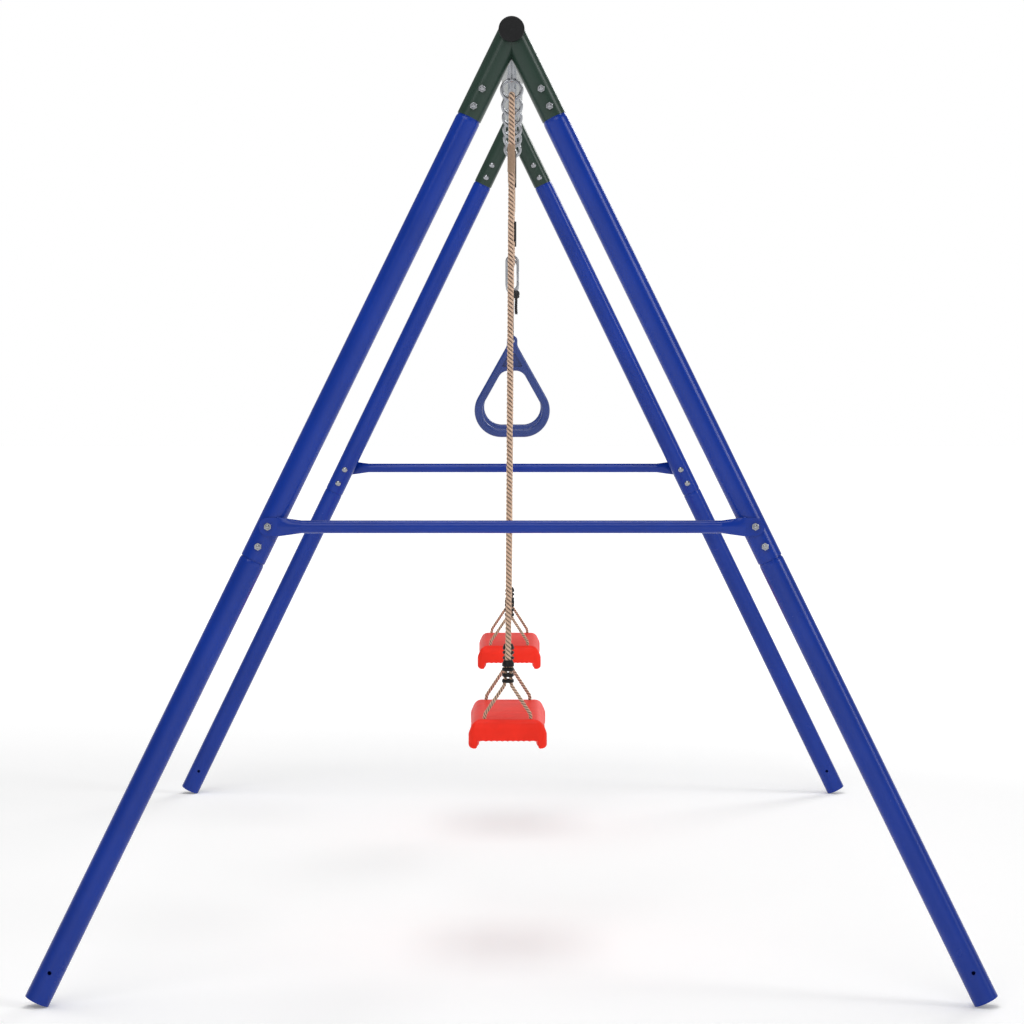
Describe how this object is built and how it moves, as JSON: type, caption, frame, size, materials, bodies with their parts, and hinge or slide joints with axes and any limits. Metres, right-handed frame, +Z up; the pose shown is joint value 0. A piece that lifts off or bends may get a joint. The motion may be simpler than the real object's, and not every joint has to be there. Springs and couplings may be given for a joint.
{
  "type": "swing set",
  "caption": "Steel tube swing set with splayed A-frame ends, a round beam, rope swings with moulded seats and hanging triangular gym rings.",
  "frame": {"origin": "on the floor below the middle of the beam", "axes": "+Y along the beam towards the rear A-frame, +X across the set, +Z up"},
  "size_m": [1.881, 2.8998, 1.9355],
  "materials": {
    "blue_paint": "glossy paint",
    "green_paint": "satin paint",
    "black_plastic": "moulded, slightly glossy",
    "zinc_steel": "bright zinc plating",
    "red_plastic": "moulded, faintly textured on top",
    "blue_plastic": "moulded, semi-gloss",
    "hemp_rope": "three-strand twisted rope",
    "twine": "close turns of thin twine",
    "black_cord": "woven cord"
  },
  "bodies": {
    "frame": {"corner_connector_front": "green_paint", "beam_cap_front": "black_plastic", "beam_tube_front": "green_paint", "cross_brace_front": "blue_paint", "upper_leg_front_left": "blue_paint", "lower_leg_front_left": "blue_paint", "upper_leg_front_right": "blue_paint", "lower_leg_front_right": "blue_paint", "corner_connector_rear": "green_paint", "beam_cap_rear": "black_plastic", "beam_tube_rear": "green_paint", "cross_brace_rear": "blue_paint", "upper_leg_rear_left": "blue_paint", "lower_leg_rear_left": "blue_paint", "upper_leg_rear_right": "blue_paint", "lower_leg_rear_right": "blue_paint", "connector_bolts": "zinc_steel", "connector_nuts": "zinc_steel", "leg_joint_bolts": "zinc_steel", "leg_joint_nuts": "zinc_steel", "beam_bolts": "zinc_steel", "beam_nuts": "zinc_steel", "eye_bolts": "zinc_steel", "eye_bolt_nuts": "zinc_steel"},
    "swing_front": {"seat_front": "red_plastic", "swing_rope_front_inner": "hemp_rope", "whipping_front_inner": "twine", "bridle_front_inner": "hemp_rope", "ferrules_front_inner": "black_plastic", "swing_rope_front_outer": "hemp_rope", "whipping_front_outer": "twine", "bridle_front_outer": "hemp_rope", "ferrules_front_outer": "black_plastic"},
    "ring_line_front": {"ring_rope_front": "hemp_rope", "rope_sleeves_front": "black_plastic"},
    "snap_hook_front": {"snap_hook_front": "zinc_steel"},
    "snap_gate_front": {"snap_gate_front": "zinc_steel"},
    "gym_ring_front": {"ring_sling_front": "black_cord", "ring_handle_front": "blue_plastic"},
    "swing_rear": {"seat_rear": "red_plastic", "swing_rope_rear_inner": "hemp_rope", "whipping_rear_inner": "twine", "bridle_rear_inner": "hemp_rope", "ferrules_rear_inner": "black_plastic", "swing_rope_rear_outer": "hemp_rope", "whipping_rear_outer": "twine", "bridle_rear_outer": "hemp_rope", "ferrules_rear_outer": "black_plastic"},
    "ring_line_rear": {"ring_rope_rear": "hemp_rope", "rope_sleeves_rear": "black_plastic"},
    "snap_hook_rear": {"snap_hook_rear": "zinc_steel"},
    "snap_gate_rear": {"snap_gate_rear": "zinc_steel"},
    "gym_ring_rear": {"ring_sling_rear": "black_cord", "ring_handle_rear": "blue_plastic"}
  },
  "joints": [
    {"name": "swing_front_hinge", "type": "hinge", "parent": "frame", "child": "swing_front", "pos_m": [0, -0.785, 1.806], "axis": [0, 1, 0], "range_deg": [-60, 60]},
    {"name": "ring_line_front_hinge", "type": "hinge", "parent": "frame", "child": "ring_line_front", "pos_m": [0, -0.2, 1.806], "axis": [0, 1, 0], "range_deg": [-60, 60]},
    {"name": "snap_hook_front_hinge", "type": "hinge", "parent": "ring_line_front", "child": "snap_hook_front", "pos_m": [0, -0.2, 1.47415], "axis": [0, 1, 0], "range_deg": [-40, 40]},
    {"name": "snap_gate_front_hinge", "type": "hinge", "parent": "snap_hook_front", "child": "snap_gate_front", "pos_m": [0.013, -0.2, 1.4273], "axis": [0, 1, 0], "range_deg": [-35, 0], "stiffness_Nm_per_rad": 0.05, "springref_deg": 5.73},
    {"name": "gym_ring_front_hinge", "type": "hinge", "parent": "snap_hook_front", "child": "gym_ring_front", "pos_m": [0, -0.2, 1.405], "axis": [1, 0, 0], "range_deg": [-30, 30]},
    {"name": "swing_rear_hinge", "type": "hinge", "parent": "frame", "child": "swing_rear", "pos_m": [0, 0.785, 1.806], "axis": [0, 1, 0], "range_deg": [-60, 60]},
    {"name": "ring_line_rear_hinge", "type": "hinge", "parent": "frame", "child": "ring_line_rear", "pos_m": [0, 0.2, 1.806], "axis": [0, 1, 0], "range_deg": [-60, 60]},
    {"name": "snap_hook_rear_hinge", "type": "hinge", "parent": "ring_line_rear", "child": "snap_hook_rear", "pos_m": [0, 0.2, 1.47415], "axis": [0, 1, 0], "range_deg": [-40, 40]},
    {"name": "snap_gate_rear_hinge", "type": "hinge", "parent": "snap_hook_rear", "child": "snap_gate_rear", "pos_m": [0.013, 0.2, 1.4273], "axis": [0, 1, 0], "range_deg": [-35, 0], "stiffness_Nm_per_rad": 0.05, "springref_deg": 5.73},
    {"name": "gym_ring_rear_hinge", "type": "hinge", "parent": "snap_hook_rear", "child": "gym_ring_rear", "pos_m": [0, 0.2, 1.405], "axis": [1, 0, 0], "range_deg": [-30, 30]}
  ]
}
